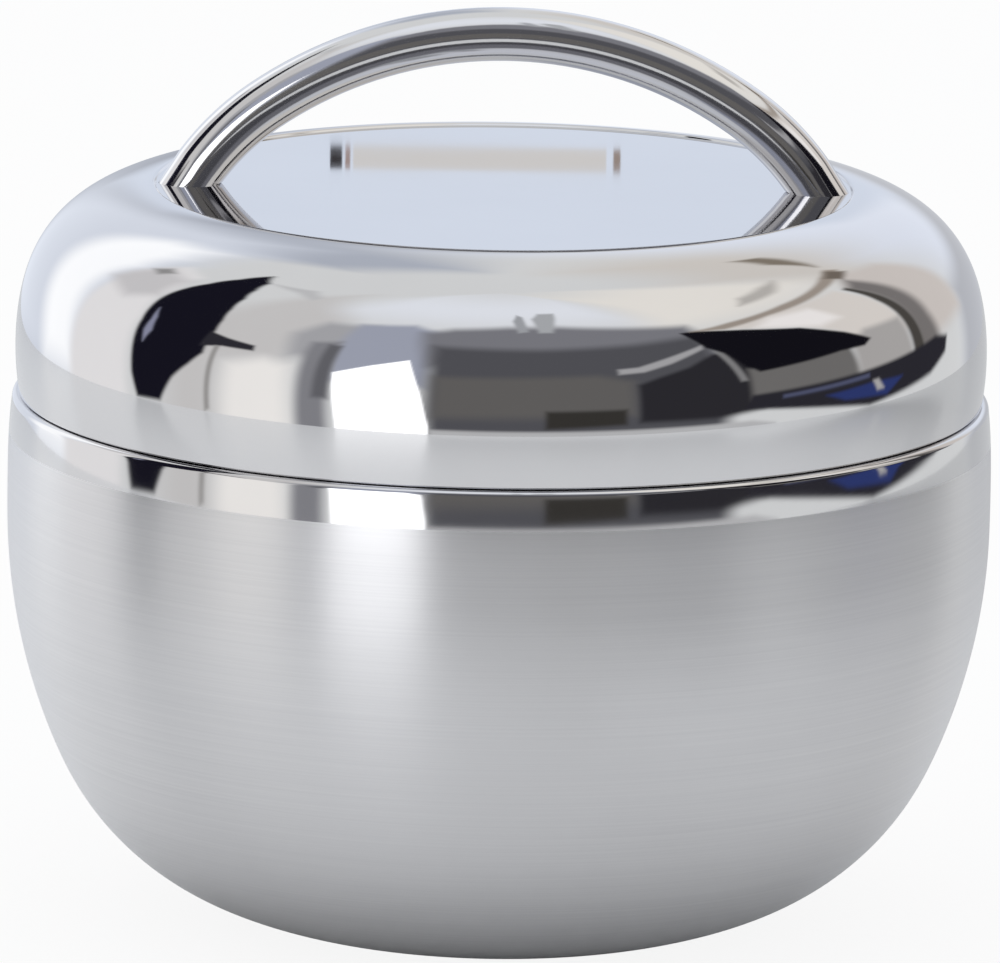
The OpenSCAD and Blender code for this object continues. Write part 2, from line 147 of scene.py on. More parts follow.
# The steel mirrors a studio: white softboxes on both sides, their black backs, a window and a
# dim room in front. They are painted on a dome that only reflections see. Each shape gives its
# tone, its gain, the softness of its edge and its corners, as degrees round from the camera's
# side and degrees above the lid's foot.
DOME_R = 0.93
DOME_MID_Z = 0.13
DOME_LOW, DOME_TOP = -8.3, 89.9
DOME_COLUMNS, DOME_ROWS = 720, 197
ROOM_TONE = "#cfd0cf"
STUDIO = [
    # ceiling and the backdrop behind
    ("#dde0e5", 1.0, 30, [(-58, 54), (-58, 84), (45, 84), (45, 54)]),
    ("#e2ded6", 1.0, 22, [(44, 44), (54, 82), (112, 80), (128, 44)]),
    ("#cac5be", 1.0, 22, [(122, 36), (122, 66), (170, 62), (170, 36)]),
    ("#d5dae4", 1.0, 26, [(142, -20), (142, 36), (212, 36), (212, -20)]),
    ("#aeb0b5", 1.0, 10, [(136, -14), (138, 8), (176, 8), (176, -14)]),
    ("#989ca5", 1.0, 12, [(182, -14), (182, 30), (206, 30), (226, 8), (238, -14)]),
    ("#a9aeb8", 1.0, 14, [(184, 24), (184, 62), (210, 62), (210, 24)]),
    ("#c5ccd8", 1.0, 6, [(168, 8), (168, 21), (192, 21), (192, 8)]),
    ("#c3c1bf", 1.0, 14, [(-82, -20), (-78, 70), (-46, 50), (-50, 16), (-66, 10), (-66, -20)]),
    # left softbox, with the darker side of its tent
    ("#d0d5de", 1.0, 14, [(-168, -12), (-166, 40), (-152, 50), (-128, 47), (-112, 34), (-106, 8), (-104, -12)]),
    ("#fdfefe", 1.0, 11, [(-131, -8), (-142, 20), (-151, 38), (-146, 46), (-134, 44), (-124, 36), (-120, 16),
                          (-114, -8)]),
    ("#e0dedd", 1.0, 5, [(-116, -14), (-118, 26), (-124, 46), (-112, 47), (-103, 38), (-96, 20), (-93, -14)]),
    ("#c4c2c2", 1.0, 7, [(-121, 27), (-122, 43), (-108, 44), (-101, 32), (-108, 24)]),
    ("#8d8c8b", 1.0, 3, [(-122, 38.5), (-122, 42.5), (-117, 42.5), (-117, 38.5)]),
    ("#bababa", 1.0, 3, [(-105, 59), (-90, 64.5), (-76, 62), (-74, 59), (-88, 60.5)]),
    ("#15141e", 1.0, 1.6, [(-120, 59.5), (-105, 58.5), (-94, 54), (-85, 48), (-79, 40), (-75, 32), (-73, 25),
                           (-72, 12), (-75, 6), (-79, 0), (-82.5, -7.5), (-90, -8), (-92, -2), (-93.5, 8),
                           (-95, 18), (-97, 25), (-102, 40), (-105, 47), (-111, 54)]),
    ("#85879b", 1.0, 1.3, [(-94.5, 27), (-91.5, 22), (-89.5, 15), (-90.5, 9), (-92, 14), (-92.5, 20)]),
    ("#2b2a30", 1.0, 1.4, [(-74, 24), (-68, 22.5), (-60, 21.5), (-59.5, 18.5), (-68, 17.5), (-74, 15)]),
    ("#94928f", 1.0, 1.3, [(-70, 17), (-68.6, 17), (-68.2, -7), (-69.6, -8)]),
    ("#ebe8e3", 1.0, 8, [(-65, -14), (-65, 10), (-56, 16), (-49, 14), (-47, -14)]),
    # dark edge of the room, then the window
    ("#a2a2a4", 1.0, 7, [(-51, 20), (-54, 34), (-50, 46), (-36, 48), (-36, 20)]),
    ("#9a9eab", 1.0, 5, [(-39.5, 10), (-41, 48), (-26, 52), (-15.5, 46), (-16.5, 10)]),
    ("#7f7f83", 1.0, 4, [(-46, -14), (-47, 30), (-40, 33), (-38.5, -14)]),
    ("#606064", 1.0, 2.5, [(-42.5, 2), (-42.5, 30), (-39, 30), (-38.7, 2)]),
    ("#77777c", 1.0, 7, [(-17, 22), (-22, 46), (-14, 51), (2, 54), (18, 54), (40, 49), (54, 46), (54, 22)]),
    ("#4f4f53", 1.0, 7, [(-16.8, -14), (-16.8, 36), (10, 35), (34, 36), (52, 38), (52, -14)]),
    ("#ffffff", 1.5, 0.9, [(-36.6, -14), (-36.8, -5.6), (-37.7, 4), (-38.4, 13.7), (-30, 19.6), (-21.5, 24.8),
                           (-17.8, 7.1), (-15.8, -5.4), (-15.8, -14)]),
    # back of the room: a wall, ceiling lamps, a dark stand and a white rail
    ("#5f5d5b", 1.0, 5, [(-15, -2), (-15, 16), (22, 17), (30, 13), (30, -1)]),
    ("#9b9da0", 1.0, 2, [(5, 49), (4, 60), (6, 66), (8, 64), (8, 50)]),
    ("#a4a6a8", 1.0, 2.4, [(11, 49), (11, 62), (15, 67), (22, 67), (18, 58), (15, 49)]),
    ("#34322f", 1.0, 2, [(10, -5.5), (10, 1), (28, 1), (28, -4.5)]),
    ("#2a292d", 1.0, 2.5, [(31, -4), (31, 11), (36, 14), (44, 18), (51, 24), (60, 24), (60, 12), (61, -3),
                           (50, -4.5)]),
    ("#a09fa0", 1.0, 1.8, [(27, 17), (33, 17.5), (40, 21), (50, 28), (51, 31), (42, 26), (32, 20.5), (27, 20)]),
    ("#7d7c7c", 1.0, 1.4, [(52, 26), (54, 25), (57.5, 8), (55.6, 8)]),
    # right softbox with its black back, the stand's arm and a dark ledge with blue boards
    ("#d3cdc6", 1.0, 4, [(56, 41), (62, 39), (80, 31), (88, 22), (94, 12), (110, 10), (110, 40), (84, 43)]),
    ("#6b6967", 1.0, 3, [(58, 0), (58, 13), (88, 14), (90, 0)]),
    ("#a5a29f", 1.0, 4, [(89, 0), (89, 14), (96, 18), (109.5, 16), (109.5, 0)]),
    ("#e9e5e1", 1.0, 5, [(70, 36), (78, 40), (92, 38), (94, 28), (86, 27)]),
    ("#c6bfb9", 1.0, 6, [(114, 2), (114, 38), (126, 42), (136, 34), (138, 2)]),
    ("#74706e", 1.0, 5, [(113, -2), (113, 37), (121, 40), (121, 10), (123, -2)]),
    ("#46433f", 1.0, 2, [(109.8, 0), (110.5, 27), (112, 38), (114, 38), (114, 24), (114.5, 0)]),
    ("#121117", 1.0, 1.4, [(49, 41), (54, 41), (66, 36.5), (80, 29.5), (90, 20), (96, 13), (93, 11), (85, 12),
                           (61, 11), (57.5, 15), (55, 22.5), (51, 28.5)]),
    ("#998f85", 1.0, 2, [(52, 41), (60, 42), (66, 43), (90, 45), (122, 45), (132, 44), (132, 41.5), (110, 42),
                         (80, 41.5), (62, 39)]),
    ("#6d645b", 1.0, 2.4, [(122, 40), (122, 44), (130, 44), (130, 40)]),
    ("#7d7468", 1.0, 2.6, [(136, 44.5), (146, 49), (156, 48), (156, 44.5), (146, 45)]),
    ("#b2aea8", 1.0, 3, [(82, 51.5), (92, 55.5), (110, 55), (122, 53), (104, 51)]),
    ("#29282e", 1.0, 1.6, [(56, -2.6), (58, 2), (98, 2), (120, 2), (126, 0), (124, -3), (116, -5.5), (92, -7.8),
                           (70, -4.6)]),
    ("#b2b2b2", 1.0, 1.4, [(-15.4, -14), (-15.4, -6.4), (58, -6.4), (64, -7.8), (64, -14)]),
    ("#50546c", 1.0, 1.2, [(66, 0.5), (92, 0.8), (92, -0.4), (66, -0.6)]),
    ("#2c3768", 1.0, 1.2, [(78, -2.4), (92, -2), (104, -3), (98, -6.2), (84, -5)]),
    ("#a5a3a2", 1.0, 1.2, [(93, -1.5), (95, -1.5), (97, -4.5), (94.5, -4.5)]),
]
# The lid gives back this share of the light, so the dome glows brighter by as much.
STEEL_SHARE = 0.7


def coverage(round_deg, up_deg, corners, soft):
    """How much of each direction a shape covers, with an edge soft degrees wide."""
    inside = np.zeros(len(round_deg), bool)
    nearest = np.full(len(round_deg), 1e9)
    for (x0, y0), (x1, y1) in zip(corners, corners[1:] + corners[:1]):
        crosses = (y0 > up_deg) != (y1 > up_deg)
        if y0 != y1:
            inside ^= crosses & (round_deg < (x1 - x0) * (up_deg - y0) / (y1 - y0) + x0)
        run = np.array((x1 - x0, y1 - y0))
        t = np.clip(((round_deg - x0) * run[0] + (up_deg - y0) * run[1]) / (run @ run), 0, 1)
        nearest = np.minimum(nearest, np.hypot(round_deg - x0 - t * run[0], up_deg - y0 - t * run[1]))
    share = np.clip(np.where(inside, nearest, -nearest) / soft + 0.5, 0, 1)
    return share * share * (3 - 2 * share)


def studio_dome():
    round_deg, up_deg = np.meshgrid(np.linspace(-180, 180, DOME_COLUMNS + 1)[:-1],
                                    np.linspace(DOME_LOW, DOME_TOP, DOME_ROWS))
    round_deg, up_deg = round_deg.ravel(), up_deg.ravel()
    tone = np.tile(np.array(linear(ROOM_TONE)[:3]), (len(round_deg), 1))
    for code, gain, soft, corners in STUDIO:
        share = np.maximum(coverage(round_deg, up_deg, corners, soft),
                           coverage(round_deg + 360, up_deg, corners, soft))[:, None]
        tone = tone * (1 - share) + np.array(linear(code)[:3]) * gain * share
    flat = DOME_R * np.cos(np.radians(up_deg))
    spots = np.stack((flat * np.sin(np.radians(round_deg)), -flat * np.cos(np.radians(round_deg)),
                      DOME_MID_Z + DOME_R * np.sin(np.radians(up_deg))), 1)
    quads = []
    for start in range(0, DOME_COLUMNS * (DOME_ROWS - 1), DOME_COLUMNS):
        for i in range(DOME_COLUMNS):
            after = (i + 1) % DOME_COLUMNS
            quads.append((start + i, start + after, start + DOME_COLUMNS + after, start + DOME_COLUMNS + i))
    mesh = bpy.data.meshes.new("studio_dome")
    mesh.from_pydata(spots.tolist(), [], quads)
    mesh.shade_smooth()
    paint = mesh.attributes.new("studio_tone", "FLOAT_COLOR", "POINT")
    paint.data.foreach_set("color", np.hstack((tone, np.ones((len(tone), 1)))).astype(np.float32).ravel())
    return mesh


def for_reflections_only(stage_object, material):
    """Reflections see it. The camera, the shadows and the plain light don't."""
    stage_object.data.materials.append(material)
    material.cycles.emission_sampling = "NONE"
    for ray in ("camera", "diffuse", "shadow", "transmission", "volume_scatter"):
        setattr(stage_object, "visible_" + ray, False)


dome = link_object("studio_dome", studio_dome())
dome_paint, tree = new_material("studio_reflected")
tone = add(tree, "ShaderNodeAttribute", attribute_name="studio_tone")
glow = add(tree, "ShaderNodeEmission", {"Color": tone.outputs["Color"], "Strength": 1 / STEEL_SHARE})
add(tree, "ShaderNodeOutputMaterial", {"Surface": glow.outputs[0]})
for_reflections_only(dome, dome_paint)

# Painted reflection: a pale rail behind the bowl, with a brown bracket at each end, drawn as a glowing strip that
# only reflections see. The sunken top mirrors it.
RAIL_Y = 0.89
RAIL_LOW_Z, RAIL_TOP_Z = 0.318, 0.3246
rail_mesh = bpy.data.meshes.new("painted_rail_reflection")
rail_parts = [(-0.0493, -0.0459, "#1c1513"), (-0.045, -0.0436, "#8d7a74"),
              (-0.0428, 0.0289, "#bebbb8"), (0.0309, 0.0329, "#85766c")]
rail_mesh.from_pydata([spot for x0, x1, _ in rail_parts for spot in (
    (x0, RAIL_Y, RAIL_LOW_Z), (x1, RAIL_Y, RAIL_LOW_Z), (x1, RAIL_Y, RAIL_TOP_Z), (x0, RAIL_Y, RAIL_TOP_Z))],
    [], [tuple(range(4 * i, 4 * i + 4)) for i in range(len(rail_parts))])
rail_tone = rail_mesh.attributes.new("studio_tone", "FLOAT_COLOR", "POINT")
rail_tone.data.foreach_set("color", [value for _, _, code in rail_parts for value in linear(code) * 4])
for_reflections_only(link_object("painted_rail_reflection", rail_mesh), dome_paint)

LAMP_PLACE = Vector((-0.3, -0.2, 2.4))
lamp_data = bpy.data.lights.new("overhead_softbox", "AREA")
lamp_data.shape = "SQUARE"
lamp_data.size = 2.2
lamp_data.energy = 14
overhead = link_object("overhead_softbox", lamp_data)
overhead.location = LAMP_PLACE
overhead.rotation_euler = (-LAMP_PLACE).to_track_quat("-Z", "Y").to_euler()
overhead.visible_glossy = False

# ---------------------------------------------------------------------------
# Bowl shell
# Deep-drawn stainless sheet, 0.6 mm thick. The wall is brushed round and round
# with a belt. It leans in a little to the rim, and the top 8.7 mm are buffed.
# ---------------------------------------------------------------------------
SHEET = 0.6
FACES_UP, FACES_DOWN = 90, -90
ARC_STEP = 3.0
BOWL_R = 110.0
BOWL_H = 118.5


def cos(degrees):
    return math.cos(math.radians(degrees))


def sin(degrees):
    return math.sin(math.radians(degrees))


def pressed_line(start, angle, bends, step=ARC_STEP):
    """Points (radius, height, angle of the outward side) along tangent bends, in mm and degrees.
    A bend is (radius, angle at its end, straight run after it), and a negative radius curls back."""
    r, z = start
    line = [(r, z, angle)]
    for bend, to, run in bends:
        mid_r, mid_z = r - bend * cos(angle), z - bend * sin(angle)
        count = math.ceil(abs(to - angle) / step)
        for i in range(1, count + 1):
            a = angle + (to - angle) * i / count
            line.append((mid_r + bend * cos(a), mid_z + bend * sin(a), a))
        r, z, angle = mid_r + bend * cos(to), mid_z + bend * sin(to), to
        if run > 0:
            r, z = r - run * sin(to), z + run * cos(to)
            line.append((r, z, angle))
    return line


def moved_in(line, depth):
    """The same line as it runs on the sheet's other side."""
    return [(r - depth * cos(a), z - depth * sin(a), a) for r, z, a in line]


def closed_section(line, thick):
    """The sheet's whole cut edge: along the outside and back along the inside."""
    return line + moved_in(line, thick)[::-1]


def eased(line, window, every):
    """Evens out the jumps of curvature where bends meet, as a press leaves them, over a window in mm.
    It works on points 0.4 mm apart and returns one of every few."""
    spacing = 0.4
    lengths = [0.0]
    for (r0, z0, _), (r1, z1, _) in zip(line, line[1:]):
        lengths.append(lengths[-1] + math.hypot(r1 - r0, z1 - z0))
    count = every * int(lengths[-1] / spacing / every)
    angles, at = [], 0
    for i in range(count + 1):
        s = lengths[-1] * i / count
        while at < len(lengths) - 2 and lengths[at + 1] < s:
            at += 1
        t = (s - lengths[at]) / (lengths[at + 1] - lengths[at])
        angles.append(line[at][2] + (line[at + 1][2] - line[at][2]) * t)
    reach = int(window / 2 / spacing)
    for _ in range(2):
        mirrored_low = [2 * angles[0] - angles[i] for i in range(reach, 0, -1)]
        mirrored_high = [2 * angles[-1] - angles[-1 - i] for i in range(1, reach + 1)]
        padded = mirrored_low + angles + mirrored_high
        angles = [sum(padded[i:i + 2 * reach + 1]) / (2 * reach + 1) for i in range(count + 1)]
    step = lengths[-1] / count
    r, z = line[0][:2]
    places = [(r, z)]
    for a0, a1 in zip(angles, angles[1:]):
        a = (a0 + a1) / 2
        r, z = r - step * sin(a), z + step * cos(a)
        places.append((r, z))
    miss_r, miss_z = line[-1][0] - r, line[-1][1] - z
    return [(r + miss_r * i / count, z + miss_z * i / count, angles[i])
            for i, (r, z) in enumerate(places)][::every]


def new_tree(name, made, inputs):
    """An empty Geometry Nodes tree with its named inputs, each with its kind and its usual value."""
    tree = bpy.data.node_groups.new(name, "GeometryNodeTree")
    for socket_name, kind, value in inputs:
        socket = tree.interface.new_socket(socket_name, in_out="INPUT", socket_type=kind)
        if value is not None:
            socket.default_value = value
    tree.interface.new_socket(made, in_out="OUTPUT", socket_type="NodeSocketGeometry")
    return tree, add(tree, "NodeGroupInput")


def ring_grid(tree, chain, steps_round, carried):
    """A grid with a row for each point of a closed chain and a column for each step of the turn.
    Returns it with its UV map, what each row's point carries, and the turn's cosine and sine."""
    count = add(tree, "GeometryNodeAttributeDomainSize", {"Geometry": chain}, component="MESH")
    points = count.outputs["Point Count"]
    rows = add(tree, "ShaderNodeMath", {0: points, 1: 1.0}, operation="ADD")
    columns = add(tree, "ShaderNodeMath", {0: steps_round, 1: 1.0}, operation="ADD")
    grid = add(tree, "GeometryNodeMeshGrid", {"Vertices X": rows.outputs[0], "Vertices Y": columns.outputs[0]})
    index = add(tree, "GeometryNodeInputIndex")
    row_whole = add(tree, "ShaderNodeMath", {0: index.outputs[0], 1: columns.outputs[0]}, operation="DIVIDE")
    row = add(tree, "ShaderNodeMath", {0: row_whole.outputs[0]}, operation="FLOOR")
    row_wrapped = add(tree, "ShaderNodeMath", {0: row.outputs[0], 1: points}, operation="MODULO")
    column = add(tree, "ShaderNodeMath", {0: index.outputs[0], 1: columns.outputs[0]}, operation="MODULO")
    turn_share = add(tree, "ShaderNodeMath", {0: column.outputs[0], 1: steps_round}, operation="DIVIDE")
    turn = add(tree, "ShaderNodeMath", {0: turn_share.outputs[0], 1: 2 * math.pi}, operation="MULTIPLY")
    east = add(tree, "ShaderNodeMath", {0: turn.outputs[0]}, operation="COSINE")
    north = add(tree, "ShaderNodeMath", {0: turn.outputs[0]}, operation="SINE")
    place = add(tree, "GeometryNodeInputPosition")
    taken = {}
    for name, kind in carried:
        source = place.outputs[0] if name == "place" else add(
            tree, "GeometryNodeInputNamedAttribute", {"Name": name}, data_type=kind).outputs["Attribute"]
        taken[name] = add(tree, "GeometryNodeSampleIndex",
                          {"Geometry": chain, "Value": source, "Index": row_wrapped.outputs[0]},
                          data_type=kind, domain="POINT").outputs["Value"]
    uv = add(tree, "ShaderNodeCombineXYZ", {"X": taken["along"], "Y": turn_share.outputs[0]})
    uv_of_points = add(tree, "GeometryNodeFieldOnDomain", {"Value": uv.outputs[0]},
                       data_type="FLOAT_VECTOR", domain="POINT")
    mapped = add(tree, "GeometryNodeStoreNamedAttribute",
                 {"Geometry": grid.outputs["Mesh"], "Name": "UVMap", "Value": uv_of_points.outputs[0]},
                 data_type="FLOAT2", domain="CORNER")
    return mapped.outputs["Geometry"], taken, east.outputs[0], north.outputs[0]


def welded_surface(tree, given, grid, spot):
    """Moves the grid's points to their places, closes its seams and gives it its finish."""
    placed = add(tree, "GeometryNodeSetPosition", {"Geometry": grid, "Position": spot})
    welded = add(tree, "GeometryNodeMergeByDistance",
                 {"Geometry": placed.outputs["Geometry"], "Distance": given.outputs["Weld distance"]})
    real = add(tree, "GeometryNodeRealizeInstances", {"Geometry": welded.outputs["Geometry"]})
    finished = add(tree, "GeometryNodeSetMaterial",
                   {"Geometry": real.outputs["Geometry"], "Material": given.outputs["Finish"]})
    return finished.outputs["Geometry"]


def spinning_tree():
    """Turns a section, drawn as a chain of points in the XZ plane, round the Z axis."""
    tree, given = new_tree("spun_sheet", "Spun", [
        ("Section", "NodeSocketGeometry", None), ("Steps round", "NodeSocketInt", 256),
        ("Weld distance", "NodeSocketFloat", 1e-6), ("Finish", "NodeSocketMaterial", None),
        ("Second finish", "NodeSocketMaterial", None)])
    surface, taken, east, north = ring_grid(
        tree, given.outputs["Section"], given.outputs["Steps round"],
        [("place", "FLOAT_VECTOR"), ("along", "FLOAT"), ("zone", "FLOAT")])
    for name in ("zone", "along"):
        surface = add(tree, "GeometryNodeStoreNamedAttribute",
                      {"Geometry": surface, "Name": name, "Value": taken[name]},
                      data_type="FLOAT", domain="POINT").outputs["Geometry"]
    parts = add(tree, "ShaderNodeSeparateXYZ", {0: taken["place"]})
    x = add(tree, "ShaderNodeMath", {0: parts.outputs["X"], 1: east}, operation="MULTIPLY")
    y = add(tree, "ShaderNodeMath", {0: parts.outputs["X"], 1: north}, operation="MULTIPLY")
    spot = add(tree, "ShaderNodeCombineXYZ", {"X": x.outputs[0], "Y": y.outputs[0], "Z": parts.outputs["Z"]})
    finished = welded_surface(tree, given, surface, spot.outputs[0])
    zone = add(tree, "GeometryNodeInputNamedAttribute", {"Name": "zone"}, data_type="FLOAT")
    in_zone = add(tree, "FunctionNodeCompare", {0: zone.outputs["Attribute"], 1: 0.99},
                  data_type="FLOAT", operation="GREATER_THAN")
    second = add(tree, "GeometryNodeSetMaterial",
                 {"Geometry": finished, "Selection": in_zone.outputs[0], "Material": given.outputs["Second finish"]})
    add(tree, "NodeGroupOutput", {"Spun": second.outputs["Geometry"]})
    return tree


def run_tree(name, mesh, tree, inputs, sharp_angle=30):
    """Runs a Geometry Nodes tree on a mesh and keeps its result as a plain mesh."""
    source = link_object(name + "_source", mesh)
    modifier = source.modifiers.new(tree.name, "NODES")
    modifier.node_group = tree
    sockets = {s.name: s.identifier for s in tree.interface.items_tree
               if s.item_type == "SOCKET" and s.in_out == "INPUT"}
    for socket, value in inputs.items():
        modifier[sockets[socket]] = value
    bpy.context.view_layer.update()
    graph = bpy.context.evaluated_depsgraph_get()
    result = bpy.data.meshes.new_from_object(source.evaluated_get(graph), preserve_all_data_layers=True,
                                             depsgraph=graph)
    result.name = name
    bpy.data.objects.remove(source)
    work = bmesh.new()
    work.from_mesh(result)
    if work.calc_volume(signed=True) < 0:
        bmesh.ops.reverse_faces(work, faces=work.faces)
    work.to_mesh(result)
    work.free()
    result.shade_smooth()
    result.set_sharp_from_angle(angle=math.radians(sharp_angle))
    return link_object(name, result)


SPUN_SHEET = spinning_tree()


def spun(name, section, finish, second=None, second_from=None):
    """A round piece from its section in mm. Points at or above second_from get the second finish."""
    mesh = bpy.data.meshes.new(name + "_section")
    count = len(section)
    mesh.from_pydata([(r * MM, 0, z * MM) for r, z, _ in section], [(i, (i + 1) % count) for i in range(count)], [])
    along = mesh.attributes.new("along", "FLOAT", "POINT")
    zone = mesh.attributes.new("zone", "FLOAT", "POINT")
    length = 0.0
    for i, (r, z, _) in enumerate(section):
        if i:
            length += math.hypot(r - section[i - 1][0], z - section[i - 1][1]) * MM
        along.data[i].value = length
        zone.data[i].value = 1.0 if second_from is not None and z >= second_from - 1e-6 else 0.0
    return run_tree(name, mesh, SPUN_SHEET, {"Finish": finish, "Second finish": second or finish})


# Brushed stainless: a fine belt leaves lines round the bowl, so highlights stretch up and down.
LINE_MM, LINE_RUN_MM, CLOUD_MM = 0.5, 111.1, 45.45


def brushed_steel(name, colour, dull, rough, stretch):
    """Stainless steel brushed round the axis. The lines are drawn a little coarser than real grit, to show."""
    material, tree = new_material(name)
    object_place = add(tree, "ShaderNodeTexCoord")
    parts = add(tree, "ShaderNodeSeparateXYZ", {0: object_place.outputs["Object"]})
    along = add(tree, "ShaderNodeAttribute", attribute_name="along")
    lines_at = add(tree, "ShaderNodeCombineXYZ", {"X": parts.outputs["X"], "Y": parts.outputs["Y"]})
    slow = add(tree, "ShaderNodeVectorMath", {0: lines_at.outputs[0], "Scale": 1 / (LINE_RUN_MM * MM)},
               operation="SCALE")
    fast = add(tree, "ShaderNodeMath", {0: along.outputs["Fac"], 1: 1 / (LINE_MM * MM)}, operation="MULTIPLY")
    across = add(tree, "ShaderNodeCombineXYZ", {"Z": fast.outputs[0]})
    grain_at = add(tree, "ShaderNodeVectorMath", {0: slow.outputs[0], 1: across.outputs[0]}, operation="ADD")
    grain = add(tree, "ShaderNodeTexNoise",
                {"Vector": grain_at.outputs[0], "Scale": 1.0, "Detail": 3.0, "Roughness": 0.6})
    clouds = add(tree, "ShaderNodeTexNoise",
                 {"Vector": object_place.outputs["Object"], "Scale": 1 / (CLOUD_MM * MM), "Detail": 4.0})
    mixed = add(tree, "ShaderNodeMix", {"Factor": grain.outputs["Fac"], 6: linear(dull), 7: linear(colour)},
                data_type="RGBA")
    roughness = add(tree, "ShaderNodeMapRange", {"Value": clouds.outputs["Fac"], "From Min": 0.3, "From Max": 0.7,
                                                 "To Min": rough - 0.02, "To Max": rough + 0.03})
    relief = add(tree, "ShaderNodeBump", {"Height": grain.outputs["Fac"], "Strength": 0.05, "Distance": 0.05 * MM})
    tangent = add(tree, "ShaderNodeTangent", direction_type="UV_MAP", uv_map="UVMap")
    steel = add(tree, "ShaderNodeBsdfPrincipled",
                {"Base Color": mixed.outputs[2], "Metallic": 1.0, "Roughness": roughness.outputs[0],
                 "Anisotropic": stretch, "Normal": relief.outputs[0], "Tangent": tangent.outputs[0]})
    add(tree, "ShaderNodeOutputMaterial", {"Surface": steel.outputs[0]})
    return material


# Mirror-buffed stainless: nearly clean reflections, with the faint haze that a cloth leaves.
SMEAR_MM = 62.5


def buffed_steel(name, colour, haze, rough, haze_rough=0.05):
    material, tree = new_material(name)
    object_place = add(tree, "ShaderNodeTexCoord")
    smears = add(tree, "ShaderNodeTexNoise", {"Vector": object_place.outputs["Object"],
                                              "Scale": 1 / (SMEAR_MM * MM), "Detail": 5.0, "Roughness": 0.6})
    roughness = add(tree, "ShaderNodeMapRange", {"Value": smears.outputs["Fac"], "From Min": 0.35, "From Max": 0.75,
                                                 "To Min": rough, "To Max": rough + haze_rough})
    tone = add(tree, "ShaderNodeMix", {"Factor": smears.outputs["Fac"], 6: linear(colour), 7: linear(haze)},
               data_type="RGBA")
    steel = add(tree, "ShaderNodeBsdfPrincipled",
                {"Base Color": tone.outputs[2], "Metallic": 1.0, "Roughness": roughness.outputs[0]})
    add(tree, "ShaderNodeOutputMaterial", {"Surface": steel.outputs[0]})
    return material


satin_wall = brushed_steel("satin_brushed_stainless", "#dedee0", "#d0d0d3", 0.31, 0.75)
mirror_band = buffed_steel("mirror_buffed_stainless_band", "#d8d8da", "#cfcfd2", 0.04)

SIDE_R, SIDE_TURN = 131.0, 25.0
KNUCKLE_R, KNUCKLE_TURN = 62.0, 67.5
UNDER_R, UNDER_TURN = 92.0, 80.0
BASE_EDGE_R = 6.0
BAND_H, LEAN_R, BAND_LOW_TURN, BAND_TOP_TURN = 8.7, 170.0, 2.6, 6.8
RIM_R = 1.4
BAND_STEP = 0.5
BODY_EASE, BODY_EVERY = 8.0, 4
RING_W, RECESS_H, RECESS_BEND_R = 8.0, 1.8, 1.5
FILL_HOLE_R = 5.0

base_r = (BOWL_R - SIDE_R + (SIDE_R - KNUCKLE_R) * cos(SIDE_TURN) + KNUCKLE_R * cos(KNUCKLE_TURN)
          - UNDER_R * (cos(KNUCKLE_TURN) - cos(UNDER_TURN)) - BASE_EDGE_R * cos(UNDER_TURN))
curve_h = (SIDE_R * sin(SIDE_TURN) + KNUCKLE_R * (sin(KNUCKLE_TURN) - sin(SIDE_TURN))
           + UNDER_R * (sin(UNDER_TURN) - sin(KNUCKLE_TURN)) + BASE_EDGE_R * (1 - sin(UNDER_TURN)))
wall_h = BOWL_H - BAND_H - curve_h
band_bend_r = (BAND_H - RIM_R * (1 - sin(BAND_TOP_TURN))) / (sin(BAND_TOP_TURN) - sin(BAND_LOW_TURN))
band_low_r = BOWL_R - LEAN_R * (1 - cos(BAND_LOW_TURN))
weld_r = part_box("bowl_liner")[1][0] / MM
rim_lip_w = (band_low_r - band_bend_r * (cos(BAND_LOW_TURN) - cos(BAND_TOP_TURN))
             - RIM_R * cos(BAND_TOP_TURN) - weld_r)
recess_turn = math.degrees(math.acos(1 - RECESS_H / (2 * RECESS_BEND_R)))
recess_r = base_r - RING_W
underside = pressed_line((FILL_HOLE_R, RECESS_H), FACES_DOWN, [
    (0, FACES_DOWN, recess_r - RECESS_BEND_R * sin(recess_turn) - FILL_HOLE_R),
    (-RECESS_BEND_R, FACES_DOWN - recess_turn, 0),
    (RECESS_BEND_R, FACES_DOWN, RING_W - RECESS_BEND_R * sin(recess_turn))])
body_line = pressed_line((base_r, 0), FACES_DOWN, [
    (BASE_EDGE_R, -UNDER_TURN, 0), (UNDER_R, -KNUCKLE_TURN, 0), (KNUCKLE_R, -SIDE_TURN, 0),
    (SIDE_R, 0, wall_h - LEAN_R * sin(BAND_LOW_TURN)), (LEAN_R, BAND_LOW_TURN, 0)])
band_line = pressed_line((band_low_r, BOWL_H - BAND_H), BAND_LOW_TURN, [
    (band_bend_r, BAND_TOP_TURN, 0)], BAND_STEP)
rim_line = pressed_line(band_line[-1][:2], BAND_TOP_TURN, [(RIM_R, FACES_UP, rim_lip_w)])
shell_line = underside + eased(body_line, BODY_EASE, BODY_EVERY)[1:] + band_line[1:] + rim_line[1:]
bowl_shell = spun("bowl_shell_brushed", closed_section(shell_line, SHEET), satin_wall,
                  mirror_band, BOWL_H - BAND_H)
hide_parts("bowl_shell")
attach(bowl_shell, "bowl")

